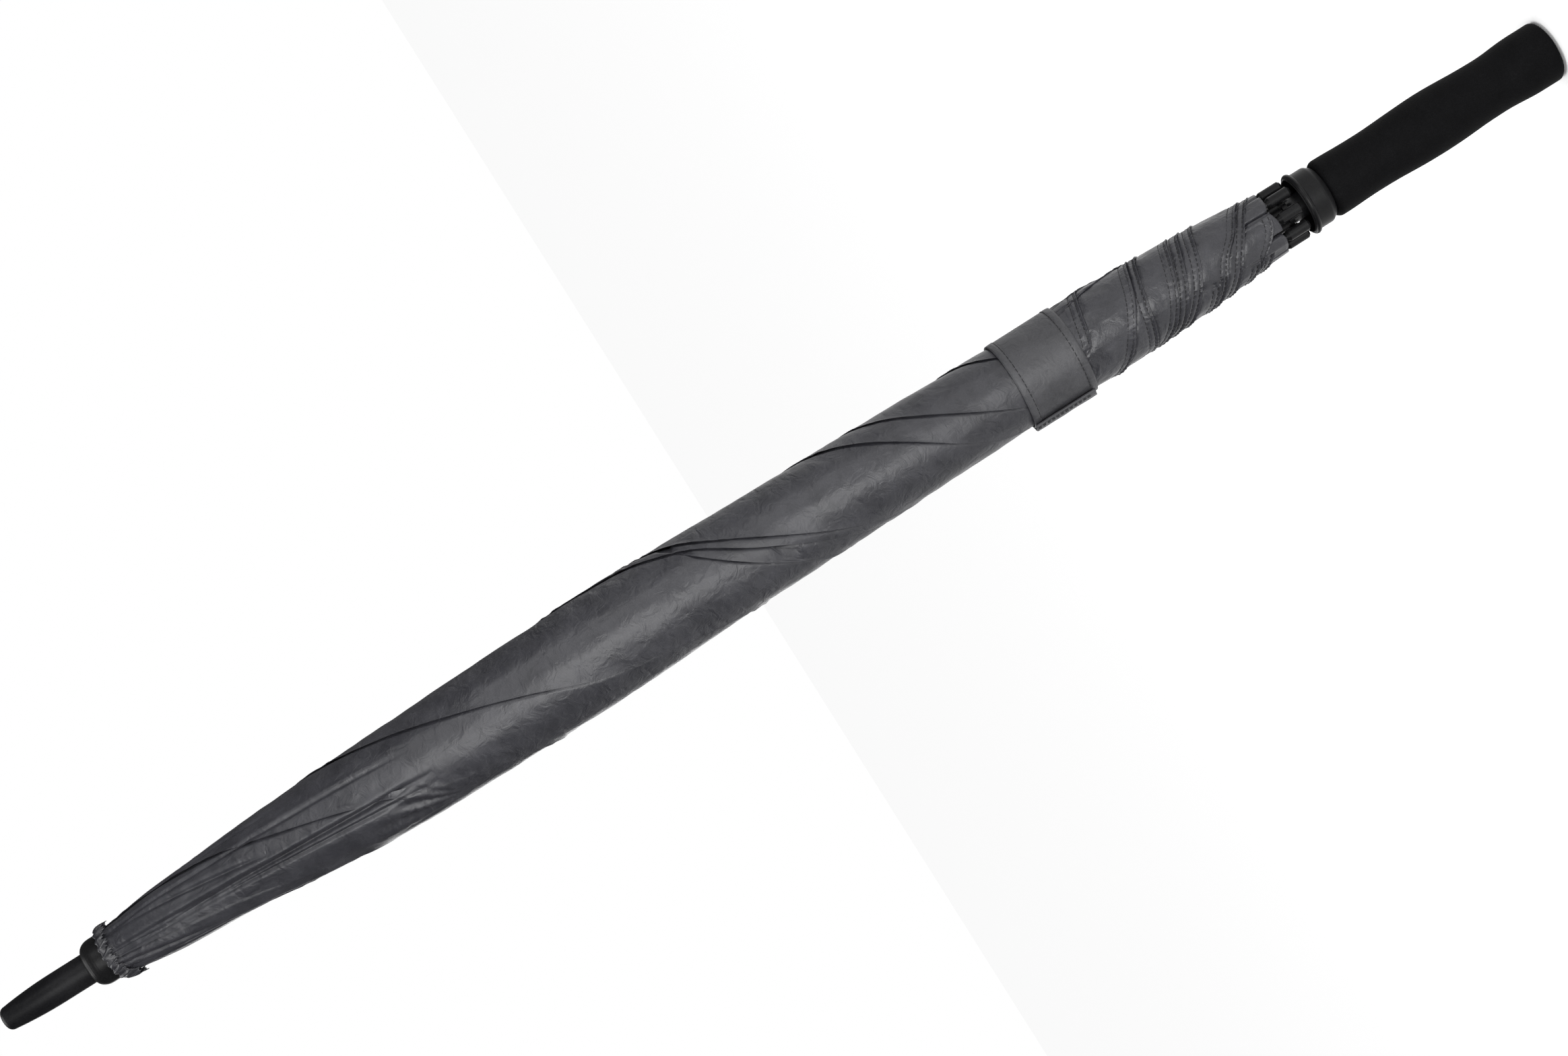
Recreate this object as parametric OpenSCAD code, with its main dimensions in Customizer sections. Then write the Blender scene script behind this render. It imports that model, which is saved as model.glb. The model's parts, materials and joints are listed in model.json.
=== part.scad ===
// Golf umbrella, closed: eight ribs folded round one straight shaft. Millimetres, +Z up.
// The origin is the centre of the handle's flat end face, and the shaft lies along +Z.

/* [Handle] */
// Length of the foam grip
grip_length = 149; // [125:1:175]
// Radius of the grip's end flare
flare_r = 18.1; // [16:0.1:21]
// Height of the straight land round the end flare
flare_height = 14; // [11:0.5:18]
// Radius of the two waists of the grip
waist_r = 16.8; // [14.5:0.1:19]
// Radius of the palm swell between the waists
swell_r = 18.2; // [16:0.1:21]
// Radius of the shoulder under the cup
shoulder_r = 17.4; // [15.5:0.1:20]
// Rounding of the shoulder
shoulder_round = 4; // [2:0.5:5]
// Rounding of the end flare
end_round = 3; // [1:0.5:4]
// Wall of the plastic core between the shaft and the foam
core_wall = 2.1; // [1.2:0.1:3]
// Thickness of the end plug's head
plug_head = 3; // [2:0.5:5]
// Length of the end plug's stem inside the shaft
plug_stem = 18; // [10:1:30]

/* [Cup] */
// Height of the bell cup over the grip
cup_height = 15.5; // [12:0.5:22]
// Inside radius of the cup's mouth
cup_mouth_r = 16.3; // [15:0.1:20]
// Wall of the cup
cup_wall = 1.9; // [1.2:0.1:2.6]
// Thickness of the cup's floor
cup_floor = 2.5; // [1.5:0.1:4]
// Radius of the bead round the cup's rim, over the wall
cup_bead = 1.6; // [1:0.1:2]

/* [Shaft and ends] */
// Outside diameter of the shaft
shaft_d = 14.8; // [13:0.1:15.4]
// Wall of the shaft
shaft_wall = 1.2; // [0.8:0.1:1.6]
// Height of the collar cap
cap_height = 14; // [11:0.5:18]
// Radius of the collar cap's skirt
cap_r = 13.7; // [12.5:0.1:15]
// Thickness of the gathered rosette under the cap
rosette_thick = 3; // [2:0.5:4]
// Radius of the rosette
rosette_r = 16.8; // [15.5:0.1:18]
// Length of the ferrule spike
ferrule_length = 54; // [40:1:70]
// Radius of the straight land at the foot of the ferrule
ferrule_r = 8.8; // [8.6:0.1:9.6]
// Height of that land
ferrule_land = 20; // [12:1:26]
// Radius of the ferrule's blunt end
ferrule_end_r = 6.9; // [5.5:0.1:7.8]

/* [Ribs] */
// Length of a rib, from its pivot to the end of its tip
rib_span = 759; // [640:1:900]
// Diameter of the rib rod
rib_d = 3.5; // [3:0.1:4]
// Radius from the shaft's centre line to the rib and stretcher pivots
hinge_r = 10; // [9.8:0.1:10.8]
// Radius from the centre line to the rib at its bend
bend_r = 16.2; // [16:0.1:17.5]
// Radius from the centre line to the rib's tip
tip_r = 14.7; // [14.5:0.1:15.5]
// Distance the stretcher pin sits further out than the rib pivot
pin_offset = 2; // [1.8:0.1:2.4]
// Diameter of the rib tip's cap
tip_d = 6.5; // [5.5:0.1:7]
// Length of the rib tip's cap
tip_length = 15; // [10:0.5:20]
// Angle each rib swings through from closed to open
open_angle = 62; // [50:1:70]
// Turn of the first rib round the shaft, from +X
first_turn = -3; // [-20:1:20]

/* [Top notch and joints] */
// Radius of the top notch
notch_r = 13; // [12.5:0.1:14]
// Height of the top notch
notch_height = 10; // [8:0.5:12]
// Thickness of the flat eyes of the ribs and stretchers
eye_t = 1.6; // [1.2:0.1:1.8]
// Diameter of the ring wire and the joint pins
wire_d = 1.2; // [1:0.1:1.4]
// Diameter of the joint clip's sleeve round the rib
clip_d = 5; // [4.7:0.1:5.1]
// Length of the joint clip's sleeve
clip_length = 24; // [16:1:30]
// Diameter of the stretcher rod
stretcher_d = 3; // [2.6:0.1:3.1]

/* [Runner] */
// Wall of the runner's barrel
barrel_wall = 0.85; // [0.7:0.05:0.9]
// Distance from the rib tips' ends up to the runner's foot
runner_rise = 5; // [3:0.5:12]
// Height of the runner's pivots over its foot
runner_reach = 59; // [50:1:75]
// Radius of the flange at the runner's foot
flange_r = 10.3; // [9.8:0.1:11]
// Height of that flange
flange_height = 3; // [2:0.5:5]
// Radius of the runner's crown
crown_r = 12.8; // [12.2:0.1:12.9]
// Height of the runner's crown
crown_height = 16; // [12:0.5:20]
// Height of the runner button
button_height = 12; // [8:0.5:16]
// Width of the runner button
button_w = 3.2; // [2.6:0.1:3.4]
// Distance the button stands out of the barrel
button_proud = 1.7; // [1:0.1:2]

/* [Canopy and strap] */
// Radius of the wrapped canopy under the rosette
neck_r = 16.6; // [16.2:0.1:19]
// Radius of the wrapped canopy at its fattest
belly_r = 30; // [28:0.5:36]
// Radius of the wrapped canopy under the strap
strap_seat_r = 24.6; // [23:0.1:28]
// Radius of the wrapped canopy at its lower edge
hem_r = 18.6; // [18.4:0.1:21]
// Height of the strap's lower edge over the rib tips' ends
strap_rise = 146; // [110:1:220]
// Width of the strap
strap_w = 40.5; // [25:0.5:60]
// Thickness of the strap
strap_t = 1.4; // [1:0.1:2]
// Thickness of the strap's doubled end
tab_t = 1.6; // [1.2:0.1:2.4]
// Angle round the shaft that the doubled end covers
tab_turn = 46; // [30:1:60]

/* [Clearances] */
// Clearance of sliding and turning fits, on the radius
run_fit = 0.1; // [0.06:0.01:0.14]
// Clearance on each side of an eye in its fork or slot
eye_fit = 0.15; // [0.1:0.01:0.25]
// Clearance on each side of a stretcher in the crown's slots
slot_fit = 0.3; // [0.2:0.05:0.4]
// Gap between the canopy and what it lies on, and between its panels
cloth_gap = 0.4; // [0.3:0.05:0.6]
// Gap between the cup's mouth and the rib tips
tip_gap = 2.5; // [1.5:0.5:6]

/* [Hidden] */
$fn = 96;
RIBS = 8;
rib_step = 360 / RIBS;
shaft_r = shaft_d / 2;
bore_r = shaft_r - shaft_wall;
core_r = shaft_r + core_wall;
wire_r = wire_d / 2;

// Heights, from the handle's end up
mouth_z = grip_length + cup_height;
tip_z = mouth_z + tip_gap;
pivot_z = tip_z + rib_span;
runner_z = tip_z + runner_rise;
crank_z = runner_z + runner_reach;
notch_top = pivot_z + 3;
notch_z = notch_top - notch_height;
cap_z = notch_top + rosette_thick;
ferrule_z = cap_z + cap_height;
end_z = ferrule_z + ferrule_length;
shaft_top = ferrule_z + 14;

// The linkage: rib pivot to pin and pin to runner are equal, so the stretcher turns twice the rib's angle
joint_z = (pivot_z + crank_z) / 2;
pivot = [hinge_r, pivot_z];
pin = [hinge_r + pin_offset, joint_z];
crank = [hinge_r, crank_z];
bend = [bend_r, joint_z];
tip = [tip_r, tip_z];
link = norm(pin - pivot);
rest_lean = asin(pin_offset / link);
travel = 2 * link * (cos(rest_lean) - cos(rest_lean + open_angle));
blade = notch_height + 2;
pin_blade = 4;
rib_end = tip + 3 * (bend - tip) / norm(bend - tip);

// The canopy panel's fan axis: square to a rib and its neighbour when the canopy is open
mean_lean = atan2(tip_r - hinge_r, rib_span);
full_lean = open_angle + mean_lean;
apex_reach = hinge_r / sin(full_lean);
apex = pivot + apex_reach * [-sin(mean_lean), cos(mean_lean)];
fan_tilt = atan2(cos(full_lean) * (1 - cos(rib_step)), sin(rib_step));
bow = bend_r - hinge_r - link * tan(mean_lean);
rod_clear = rib_d / 2 + cloth_gap;
clip_clear = bow + clip_d / 2 + cloth_gap;
clip_half = clip_length / 2 + 2;

// The wrapped canopy's outline, as [radius, height]
gore_top = pivot_z - 10;
gore_foot = tip_z + tip_length + 3;
belly_z = joint_z + 40;
strap_z = tip_z + strap_rise;
strap_top = strap_z + strap_w;
strap_r = strap_seat_r + cloth_gap;
tab_r = strap_r + strap_t + cloth_gap;
tab_start = 160;
rise = [for (k = [0:6]) let (t = k / 6)
    [neck_r + (belly_r - neck_r) * sin(90 * t), gore_top + (belly_z - gore_top) * t]];
outline = concat([[shaft_r, gore_top]], rise, [
    [(belly_r + strap_seat_r) / 2, joint_z - 60],
    [strap_seat_r, strap_top + 16],
    [strap_seat_r, strap_z - 10],
    [(strap_seat_r + hem_r) / 2 + 0.6, (strap_z + gore_foot) / 2 - 22],
    [hem_r, gore_foot],
    [shaft_r, gore_foot]
]);
gore_half = rib_step / 2 - asin(cloth_gap / 2 / hem_r);

// The button's place on the runner, midway between two ribs
button_turn = first_turn + 4.5 * rib_step;
button_z = runner_z + 14;
window_slack = 3;

// The grip's outline stations, as [height, radius], joined by smooth waves
grip_top = grip_length - shoulder_round;
stations = [
    [flare_height, flare_r],
    [grip_length * 0.26, waist_r],
    [grip_length * 0.52, swell_r],
    [grip_length * 0.81, waist_r],
    [grip_top, shoulder_r]
];
function eye_width(d) = sqrt(d * d - eye_t * eye_t) - 0.1;
function wave(a, b, t) = a + (b - a) * (1 - cos(180 * t)) / 2;
function arc(c, r, from, to, steps) =
    [for (k = [0:steps]) let (a = from + (to - from) * k / steps) c + r * [cos(a), sin(a)]];

// Puts children at rib i, drawn in the X-Z plane
module at_rib(i) {
    rotate([0, 0, first_turn + (i - 1) * rib_step]) children();
}

// Puts children at every rib
module at_ribs() {
    for (i = [1:RIBS]) at_rib(i) children();
}

// Stands children's Z axis on the line from a to b, both [radius, height]
module along(a, b) {
    translate([a[0], 0, a[1]])
        rotate([0, atan2(b[0] - a[0], b[1] - a[1]), 0])
            children();
}

// A cylinder across the rib's plane, centred on it
module cross_pin(at, r, width) {
    translate([at[0], 0, at[1]]) rotate([90, 0, 0]) cylinder(r = r, h = width, center = true);
}

// A straight rod between two points of the rib's plane
module rod(a, b, r) {
    along(a, b) cylinder(r = r, h = norm(b - a));
}

// A flat blade that fits inside a rod of diameter d, along Z
module eye_blade(d, length) {
    translate([-eye_width(d) / 2, -eye_t / 2, 0]) cube([eye_width(d), eye_t, length]);
}

// A ring about the shaft with a round section
module ring_wire(radius, height, r) {
    translate([0, 0, height]) rotate_extrude() translate([radius, 0]) circle(r = r, $fn = 32);
}

// A tube about the shaft
module tube(r_out, r_in, z0, z1) {
    translate([0, 0, z0]) difference() {
        cylinder(r = r_out, h = z1 - z0);
        translate([0, 0, -1]) cylinder(r = r_in, h = z1 - z0 + 2);
    }
}

// The windows that the runner button presses into, closed and open
module button_window(width, slack, from, to) {
    rotate([0, 0, button_turn])
        translate([from, -width / 2, -slack / 2])
            cube([to - from, width, button_height + slack]);
}

module shaft_tube() {
    color("#17171a") difference() {
        tube(shaft_r, bore_r, plug_head, shaft_top);
        for (lift = [0, travel])
            translate([0, 0, button_z + lift]) button_window(button_w + 1, window_slack, 3, shaft_r + 1);
    }
}

module ferrule() {
    knee_z = ferrule_z + ferrule_land;
    color("#141416") difference() {
        rotate_extrude() polygon(concat(
            [[0, ferrule_z], [ferrule_r, ferrule_z], [ferrule_r, knee_z]],
            [for (k = [1:8]) let (t = k / 8)
                [ferrule_r - (ferrule_r - ferrule_end_r) * t * t, knee_z + (end_z - 3.5 - knee_z) * t]],
            arc([ferrule_end_r - 3.5, end_z - 3.5], 3.5, 10, 90, 6),
            [[0, end_z]]
        ));
        translate([0, 0, ferrule_z - 1]) cylinder(r = shaft_r, h = shaft_top - ferrule_z + 1);
    }
}

module collar_cap() {
    rise_z = ferrule_z - cap_z - 7;
    color("#141416") rotate_extrude() polygon(concat(
        [[shaft_r, cap_z], [cap_r - 0.6, cap_z], [cap_r, cap_z + 0.6]],
        [for (k = [0:8]) let (a = 90 * k / 8)
            [ferrule_r + (cap_r - ferrule_r) * cos(a), cap_z + rise_z + 7 * sin(a)]],
        [[shaft_r, ferrule_z]]
    ));
}

module rosette() {
    color("#3b3c41") tube(rosette_r, shaft_r, notch_top, cap_z);
}

module top_notch() {
    slot_r = min(shaft_r + 1, hinge_r - eye_width(rib_d) / 2 - run_fit);
    color("#1b1b1e") difference() {
        tube(notch_r, shaft_r, notch_z, notch_top);
        at_ribs() translate([slot_r, -eye_t / 2 - eye_fit, notch_z - 1])
            cube([notch_r, eye_t + 2 * eye_fit, notch_height + 2]);
        ring_wire(hinge_r, pivot_z, wire_r);
    }
}

module notch_wire() {
    color("#b9bbbe") ring_wire(hinge_r, pivot_z, wire_r);
}

module tip_cup() {
    outer_r = cup_mouth_r + 0.9;
    foot_r = outer_r - 2;
    bead_z = mouth_z - cup_bead - 0.6;
    color("#1a1a1c") rotate_extrude() polygon(concat(
        [[shaft_r, grip_length], [foot_r, grip_length]],
        arc([outer_r - 3, grip_length + 4], 3, -45, 0, 4),
        [[outer_r, bead_z - cup_bead]],
        arc([outer_r, bead_z], cup_bead, -80, 90, 8),
        arc([cup_mouth_r + 0.5, mouth_z - 0.5], 0.5, 90, 180, 3),
        [[outer_r - cup_wall, mouth_z - 5]],
        arc([outer_r - cup_wall - 2, grip_length + cup_floor + 2], 2, 0, -90, 5),
        [[shaft_r, grip_length + cup_floor]]
    ));
}

module handle_core() {
    color("#202022") tube(core_r, shaft_r, plug_head, grip_length);
}

module handle_grip() {
    color("#18181a") rotate_extrude() polygon(concat(
        [[core_r, 0]],
        arc([flare_r - end_round, end_round], end_round, -90, 0, 6),
        [for (s = [0:3], k = [0:9]) let (a = stations[s], b = stations[s + 1], t = k / 10)
            [wave(a[1], b[1], t), a[0] + (b[0] - a[0]) * t]],
        arc([shoulder_r - shoulder_round, grip_top], shoulder_round, 0, 90, 6),
        [[core_r, grip_length]]
    ));
}

module end_plug() {
    color("#202022") {
        cylinder(r = core_r, h = plug_head);
        cylinder(r = bore_r, h = plug_head + plug_stem);
    }
}

// A leaf in the shaft's bore behind one window
module catch_leaf(lift) {
    leaf_w = button_w;
    leaf_x = sqrt(pow(bore_r - 0.05, 2) - pow(leaf_w / 2, 2));
    rotate([0, 0, button_turn])
        translate([leaf_x - 0.6, -leaf_w / 2, button_z + button_height / 2 + lift - 22])
            cube([0.6, leaf_w, 44]);
}

module upper_spring() {
    color("#9a9ca0") catch_leaf(travel);
}

module lower_spring() {
    color("#9a9ca0") catch_leaf(0);
}

module runner_sleeve() {
    barrel_r = shaft_r + run_fit + barrel_wall;
    crown_z = crank_z - crown_height / 2;
    slot_w = stretcher_d + 2 * slot_fit;
    color("#1d1d20") difference() {
        union() {
            tube(barrel_r, shaft_r + run_fit, runner_z, crown_z + crown_height);
            tube(flange_r, shaft_r + run_fit, runner_z, runner_z + flange_height);
            tube(crown_r, shaft_r + run_fit, crown_z, crown_z + crown_height);
        }
        at_ribs() translate([barrel_r, -slot_w / 2, runner_z - 1])
            cube([crown_r, slot_w, runner_reach + crown_height]);
        translate([0, 0, button_z]) button_window(button_w + 2 * eye_fit, 2 * eye_fit, 3, crown_r);
    }
}

module runner_button() {
    barrel_r = shaft_r + run_fit + barrel_wall;
    color("#c9cacc") translate([0, 0, button_z])
        button_window(button_w, 0, shaft_r + run_fit, barrel_r + button_proud);
}

// The crimp that joins a rib's two straight lengths at the bend
module crimp() {
    translate([bend[0], 0, bend[1]]) cylinder(d = rib_d + 0.4, h = 3, center = true);
}

module rib() {
    color("#2a2a2d") difference() {
        union() {
            cross_pin(pivot, eye_width(rib_d) / 2, eye_t);
            along(pivot, bend) eye_blade(rib_d, blade + 1);
            rod(pivot + blade * (bend - pivot) / norm(bend - pivot), bend, rib_d / 2);
            crimp();
            rod(bend, rib_end, rib_d / 2);
        }
        cross_pin(pivot, wire_r + run_fit, eye_t + 1);
    }
}

module rib_tip() {
    color("#101012") difference() {
        along(tip, bend) {
            cylinder(r1 = tip_d / 2 - 1, r2 = tip_d / 2, h = 1.2);
            translate([0, 0, 1.2]) cylinder(d = tip_d, h = tip_length - 3.2);
            translate([0, 0, tip_length - 2]) cylinder(r1 = tip_d / 2, r2 = tip_d / 2 - 0.9, h = 2);
        }
        rod(rib_end, bend, rib_d / 2);
    }
}

module rib_joint() {
    ear_r = 2.2;
    ear_t = 1;
    fork = eye_t / 2 + eye_fit;
    color("#19191b") {
        difference() {
            union() {
                translate([bend_r, 0, joint_z]) cylinder(d = clip_d, h = clip_length, center = true);
                for (side = [-1, 1])
                    translate([0, side * (fork + ear_t / 2), 0]) {
                        cross_pin(pin, ear_r, ear_t);
                        translate([pin[0], -ear_t / 2, joint_z - ear_r])
                            cube([bend_r - pin[0] - rib_d / 2, ear_t, 2 * ear_r]);
                    }
            }
            rod(pivot, bend, rib_d / 2);
            crimp();
            rod(bend, rib_end, rib_d / 2);
            cross_pin(pin, wire_r, clip_d);
        }
        cross_pin(pin, wire_r, 2 * (fork + ear_t));
    }
}

module stretcher() {
    color("#2a2a2d") difference() {
        union() {
            for (end = [pin, crank]) cross_pin(end, eye_width(stretcher_d) / 2, eye_t);
            along(pin, crank) {
                eye_blade(stretcher_d, link);
                translate([0, 0, pin_blade]) cylinder(d = stretcher_d, h = link - 2 * pin_blade);
            }
        }
        cross_pin(pin, wire_r + run_fit, eye_t + 1);
        cross_pin(crank, wire_r + run_fit, eye_t + 1);
    }
}

// The room that the rib and its clip need under the panel, in the fan axis's own plane
module rib_room() {
    s_pin = apex_reach + link;
    s_end = apex_reach + rib_span + 20;
    translate([apex[0], 0, apex[1]]) rotate([0, -mean_lean, 0]) rotate([0, 0, fan_tilt])
        rotate([90, 0, 0]) linear_extrude(80, center = true) polygon([
            [-40, 20],
            [rod_clear, 20],
            [rod_clear, -apex_reach],
            [bow * (1 - clip_half / link) + rod_clear, clip_half - s_pin],
            [clip_clear, clip_half - s_pin],
            [clip_clear, -clip_half - s_pin],
            [bow + rod_clear, -clip_half - s_pin],
            [rod_clear, 20 - s_end],
            [rod_clear, -s_end],
            [-40, -s_end]
        ]);
}

module gore() {
    color("#45464b") difference() {
        rotate_extrude(angle = 2 * gore_half, start = -gore_half) polygon(outline);
        rib_room();
    }
}

module strap() {
    color("#303136") tube(strap_r + strap_t, strap_r, strap_z, strap_top);
}

module strap_tab() {
    color("#303136") translate([0, 0, strap_z + 1])
        rotate_extrude(angle = tab_turn, start = tab_start) translate([tab_r, 0]) square([tab_t, strap_w - 2]);
}

shaft_tube();
ferrule();
collar_cap();
rosette();
top_notch();
notch_wire();
tip_cup();
handle_core();
handle_grip();
end_plug();
upper_spring();
lower_spring();
runner_sleeve();
runner_button();
strap();
strap_tab();
for (i = [1:RIBS]) {
    at_rib(i) rib();
    at_rib(i) rib_tip();
    at_rib(i) rib_joint();
    at_rib(i) stretcher();
    at_rib(i) gore();
}
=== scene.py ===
# Golf umbrella, closed and strapped: the cloth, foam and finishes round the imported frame.
# Metres, +Z up the shaft from the handle's end. Azimuth 0 is +X and -90 faces the camera.
import functools
import json
import math

import bmesh
import bpy
from mathutils import Matrix, Vector, noise


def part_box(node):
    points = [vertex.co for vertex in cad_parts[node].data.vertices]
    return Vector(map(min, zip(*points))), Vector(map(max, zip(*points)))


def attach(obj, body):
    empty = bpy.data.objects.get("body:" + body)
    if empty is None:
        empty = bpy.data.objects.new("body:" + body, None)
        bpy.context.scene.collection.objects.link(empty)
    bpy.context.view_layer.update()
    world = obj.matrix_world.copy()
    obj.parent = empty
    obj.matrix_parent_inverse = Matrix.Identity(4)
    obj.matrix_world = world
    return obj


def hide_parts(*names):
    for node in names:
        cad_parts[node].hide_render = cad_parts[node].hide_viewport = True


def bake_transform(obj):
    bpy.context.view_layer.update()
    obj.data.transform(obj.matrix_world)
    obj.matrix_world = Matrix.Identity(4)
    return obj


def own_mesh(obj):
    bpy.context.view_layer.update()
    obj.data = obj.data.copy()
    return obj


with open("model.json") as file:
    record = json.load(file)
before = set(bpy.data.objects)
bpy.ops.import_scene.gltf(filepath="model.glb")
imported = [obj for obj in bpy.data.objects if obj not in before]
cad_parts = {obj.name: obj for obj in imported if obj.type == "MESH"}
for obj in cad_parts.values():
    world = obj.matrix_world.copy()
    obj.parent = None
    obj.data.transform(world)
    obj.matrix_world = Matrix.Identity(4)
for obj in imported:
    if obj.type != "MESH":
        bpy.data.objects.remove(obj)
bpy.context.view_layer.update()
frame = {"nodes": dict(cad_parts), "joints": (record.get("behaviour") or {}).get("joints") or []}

MM = 0.001
RIBS = 8
RIB_STEP = 360 / RIBS
FIRST_TURN = -3         # azimuth of the first rib
WRAP_R = 26             # usual radius of the wrapped cloth, in millimetres


# ---- Sizes that come from the frame ----

def top_of(node):
    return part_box(node)[1].z / MM


def foot_of(node):
    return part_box(node)[0].z / MM


GRIP_TOP = top_of("handle_grip")
CAP_FOOT = foot_of("collar_cap")
STRAP_LOW = foot_of("strap")
STRAP_HIGH = top_of("strap")
STRAP_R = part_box("strap")[1].x / MM
TIP_TOP = top_of("rib_tip_1")
JOINT_Z = (top_of("rib_joint_1") + foot_of("rib_joint_1")) / 2


# ---- Small helpers ----


def ramp(a, b, x):
    """0 below a, 1 above b, smooth between."""
    t = min(1, max(0, (x - a) / (b - a)))
    return t * t * (3 - 2 * t)


def bump_at(x, centre, width):
    return math.exp(-((x - centre) / width) ** 2)


def smooth_curve(stations):
    """A smooth curve through (place, value) stations, straight past both ends."""
    pts = sorted(stations)
    slopes = []
    for i in range(len(pts)):
        a, b = pts[max(0, i - 1)], pts[min(len(pts) - 1, i + 1)]
        slopes.append((b[1] - a[1]) / (b[0] - a[0]))

    def value(x):
        if x <= pts[0][0]:
            return pts[0][1] + slopes[0] * (x - pts[0][0])
        if x >= pts[-1][0]:
            return pts[-1][1] + slopes[-1] * (x - pts[-1][0])
        i = max(k for k in range(len(pts) - 1) if pts[k][0] <= x)
        (x0, y0), (x1, y1) = pts[i], pts[i + 1]
        h = x1 - x0
        t = (x - x0) / h
        return ((2 * t ** 3 - 3 * t * t + 1) * y0 + (t ** 3 - 2 * t * t + t) * h * slopes[i]
                + (3 * t * t - 2 * t ** 3) * y1 + (t ** 3 - t * t) * h * slopes[i + 1])

    return value


def polar(radius, azimuth, height):
    a = math.radians(azimuth)
    return Vector((radius * math.cos(a), radius * math.sin(a), height)) * MM


def rough(azimuth, height, scale, seed):
    """Soft noise on the wrapped cloth, from -1 to 1, with its scale in millimetres."""
    a = math.radians(azimuth)
    spot = Vector((WRAP_R * math.cos(a), WRAP_R * math.sin(a), height))
    return noise.noise(spot / scale + Vector((seed, 0, 0)))


def keep_mesh(bm, name, smooth=True):
    mesh = bpy.data.meshes.new(name)
    bm.to_mesh(mesh)
    bm.free()
    obj = bpy.data.objects.new(name, mesh)
    bpy.context.scene.collection.objects.link(obj)
    mesh.polygons.foreach_set("use_smooth", [smooth] * len(mesh.polygons))
    return obj


def cloth_grid(name, across, along, place, size):
    """A sheet whose corners run from (0, 0) to (1, 1), put in place by place(u, v).

    size is its cut, which sets the scale of its weave.
    """
    bm = bmesh.new()
    bmesh.ops.create_grid(bm, x_segments=across, y_segments=along, size=1)
    weave = bm.loops.layers.uv.new("weave")
    for face in bm.faces:
        for loop in face.loops:
            co = loop.vert.co
            loop[weave].uv = ((co.x + 1) / 2 * size[0], (co.y + 1) / 2 * size[1])
    for vert in bm.verts:
        vert.co = place((vert.co.x + 1) / 2, (vert.co.y + 1) / 2)
    bm.normal_update()
    outward = 0
    for face in bm.faces:
        middle = face.calc_center_median()
        outward += face.normal.x * middle.x + face.normal.y * middle.y
    if outward < 0:
        bmesh.ops.reverse_faces(bm, faces=bm.faces[:])
    return keep_mesh(bm, name)


def close_seam(obj, gap):
    """Joins the two edges of a sheet that runs right round."""
    bm = bmesh.new()
    bm.from_mesh(obj.data)
    bmesh.ops.remove_doubles(bm, verts=bm.verts, dist=gap * MM)
    bm.to_mesh(obj.data)
    bm.free()


def thicken(obj, thickness):
    wall = obj.modifiers.new("cloth_thickness", "SOLIDIFY")
    wall.thickness = thickness * MM
    wall.offset = 0


def stitch_row(bm, route, gap=3.2, stitch=2.3, thick=0.22):
    """Thread stitches along a route of points, each a low six-sided bead lying on the cloth."""
    travelled = 0
    for a, b in zip(route, route[1:]):
        step = (b - a).length / MM
        if step < 1e-6:
            continue
        travelled += step
        if travelled < gap:
            continue
        travelled = 0
        along = (b - a).normalized()
        out = Vector((b.x, b.y, 0)).normalized()
        side = along.cross(out).normalized()
        shape = bmesh.ops.create_cone(bm, segments=6, radius1=thick * MM, radius2=thick * MM,
                                      depth=stitch * MM, cap_ends=True)
        turn = Matrix((side, out, along)).transposed().to_4x4()
        turn.translation = b
        bmesh.ops.transform(bm, matrix=turn, verts=shape["verts"])


# ---- Materials ----

def new_material(name):
    mat = bpy.data.materials.new(name)
    mat.use_nodes = True
    tree = mat.node_tree
    return mat, tree, tree.nodes["Principled BSDF"]


def add(tree, kind, **values):
    node = tree.nodes.new(kind)
    for key, value in values.items():
        if hasattr(node, key):
            setattr(node, key, value)
        else:
            node.inputs[key.replace("_", " ")].default_value = value
    return node


def colour_mix(tree, factor, dark, light):
    """A ramp between two colours, driven by a factor socket."""
    shade = add(tree, "ShaderNodeValToRGB")
    shade.color_ramp.elements[0].color = (*dark, 1)
    shade.color_ramp.elements[1].color = (*light, 1)
    tree.links.new(factor, shade.inputs["Fac"])
    return shade.outputs["Color"]


def spread(tree, socket, low, high):
    out = add(tree, "ShaderNodeMapRange")
    out.inputs["To Min"].default_value = low
    out.inputs["To Max"].default_value = high
    tree.links.new(socket, out.inputs["Value"])
    return out.outputs["Result"]


def bump_node(tree, height, strength, distance, under=None):
    bump = add(tree, "ShaderNodeBump", Strength=strength, Distance=distance)
    tree.links.new(height, bump.inputs["Height"])
    if under is not None:
        tree.links.new(under, bump.inputs["Normal"])
    return bump.outputs["Normal"]


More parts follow.
